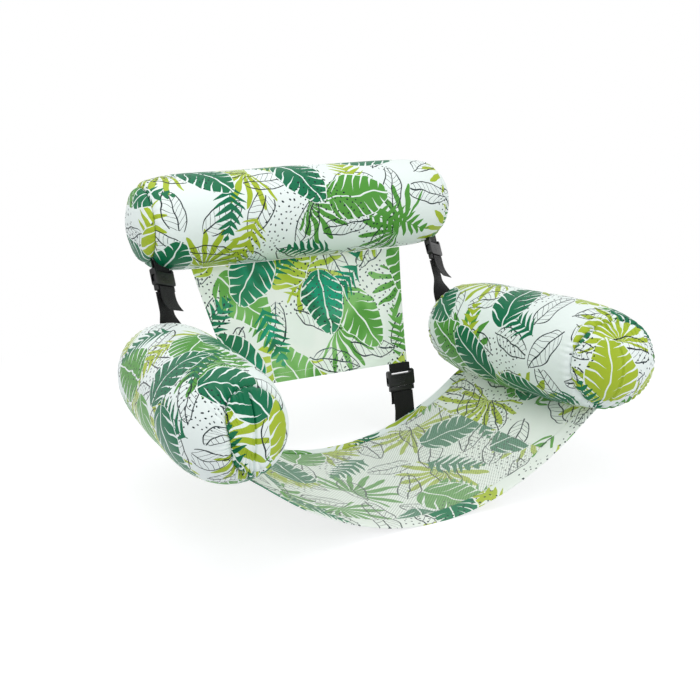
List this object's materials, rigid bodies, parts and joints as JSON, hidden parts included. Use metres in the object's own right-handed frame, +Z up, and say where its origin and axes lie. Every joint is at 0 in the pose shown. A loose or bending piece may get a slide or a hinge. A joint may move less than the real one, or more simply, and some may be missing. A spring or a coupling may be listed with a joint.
{
  "type": "inflatable pool chair",
  "caption": "Inflatable pool chair: leaf-printed headrest and arm tubes, a slung mesh seat, a back panel, buckled webbing straps and push-in air valves.",
  "frame": {"origin": "on the floor, under the middle of the chair's bounding box", "axes": "+X to the right as seen from the front, +Y to the back, +Z up; the chair faces -Y"},
  "size_m": [0.8078, 0.6301, 0.483],
  "materials": {
    "printed_fabric": "smooth woven polyester with a green leaf print on a white ground, slight sheen",
    "mesh_fabric": "open knitted mesh with the same print",
    "webbing": "black woven webbing, matt",
    "buckle_plastic": "black moulded plastic, satin",
    "valve_plastic": "soft clear-white plastic",
    "air_chamber_film": "clear film"
  },
  "bodies": {
    "seat_and_arms": {"armrest_left_air_chamber": "air_chamber_film", "armrest_left_cover": "printed_fabric", "armrest_left_front_cap": "printed_fabric", "armrest_left_rear_cap": "printed_fabric", "armrest_left_valve_stem": "valve_plastic", "armrest_right_air_chamber": "air_chamber_film", "armrest_right_cover": "printed_fabric", "armrest_right_front_cap": "printed_fabric", "armrest_right_rear_cap": "printed_fabric", "armrest_right_valve_stem": "valve_plastic", "seat_front_border": "printed_fabric", "seat_mesh": "mesh_fabric", "seat_rear_hem": "printed_fabric", "seat_side_panel_left": "printed_fabric", "seat_side_panel_right": "printed_fabric", "lower_strap_left_hem_webbing": "webbing", "lower_strap_right_hem_webbing": "webbing", "upper_strap_left_arm_webbing": "webbing", "upper_strap_right_arm_webbing": "webbing"},
    "backrest": {"headrest_cover": "printed_fabric", "headrest_end_cap_left": "printed_fabric", "headrest_end_cap_right": "printed_fabric", "headrest_air_chamber": "air_chamber_film", "headrest_valve_stem": "valve_plastic", "back_panel": "printed_fabric", "back_panel_hem": "printed_fabric", "lower_strap_left_buckle_socket": "buckle_plastic", "lower_strap_left_panel_webbing": "webbing", "lower_strap_right_buckle_socket": "buckle_plastic", "lower_strap_right_panel_webbing": "webbing", "upper_strap_left_buckle_socket": "buckle_plastic", "upper_strap_left_headrest_webbing": "webbing", "upper_strap_right_buckle_socket": "buckle_plastic", "upper_strap_right_headrest_webbing": "webbing"},
    "upper_left_buckle_plug": {"upper_strap_left_buckle_plug": "buckle_plastic", "upper_strap_left_buckle_webbing": "webbing"},
    "lower_left_buckle_plug": {"lower_strap_left_buckle_plug": "buckle_plastic", "lower_strap_left_buckle_webbing": "webbing"},
    "upper_right_buckle_plug": {"upper_strap_right_buckle_plug": "buckle_plastic", "upper_strap_right_buckle_webbing": "webbing"},
    "lower_right_buckle_plug": {"lower_strap_right_buckle_plug": "buckle_plastic", "lower_strap_right_buckle_webbing": "webbing"},
    "left_arm_valve_plug": {"armrest_left_valve_plug": "valve_plastic"},
    "right_arm_valve_plug": {"armrest_right_valve_plug": "valve_plastic"},
    "headrest_valve_plug": {"headrest_valve_plug": "valve_plastic"}
  },
  "joints": [
    {"name": "backrest_recline", "type": "hinge", "parent": "seat_and_arms", "child": "backrest", "pos_m": [0, 0.092, 0.04], "axis": [-1, 0, 0], "range_deg": [-4, 18], "deforming": ["upper_strap_left_arm_webbing", "upper_strap_right_arm_webbing", "lower_strap_left_hem_webbing", "lower_strap_right_hem_webbing"]},
    {"name": "upper_left_buckle_release", "type": "slide", "parent": "backrest", "child": "upper_left_buckle_plug", "axis": [0, -0.4724, -0.8814], "range_m": [0, 0.02]},
    {"name": "lower_left_buckle_release", "type": "slide", "parent": "backrest", "child": "lower_left_buckle_plug", "axis": [0, -0.2065, -0.9785], "range_m": [0, 0.02]},
    {"name": "upper_right_buckle_release", "type": "slide", "parent": "backrest", "child": "upper_right_buckle_plug", "axis": [0, -0.4724, -0.8814], "range_m": [0, 0.02]},
    {"name": "lower_right_buckle_release", "type": "slide", "parent": "backrest", "child": "lower_right_buckle_plug", "axis": [0, -0.2065, -0.9785], "range_m": [0, 0.02]},
    {"name": "left_arm_valve_open", "type": "slide", "parent": "seat_and_arms", "child": "left_arm_valve_plug", "axis": [0.0835, 0.9941, -0.0698], "range_m": [0, 0.01]},
    {"name": "right_arm_valve_open", "type": "slide", "parent": "seat_and_arms", "child": "right_arm_valve_plug", "axis": [-0.0835, 0.9941, -0.0698], "range_m": [0, 0.01]},
    {"name": "headrest_valve_open", "type": "slide", "parent": "backrest", "child": "headrest_valve_plug", "axis": [1, 0, 0], "range_m": [0, 0.01]}
  ]
}
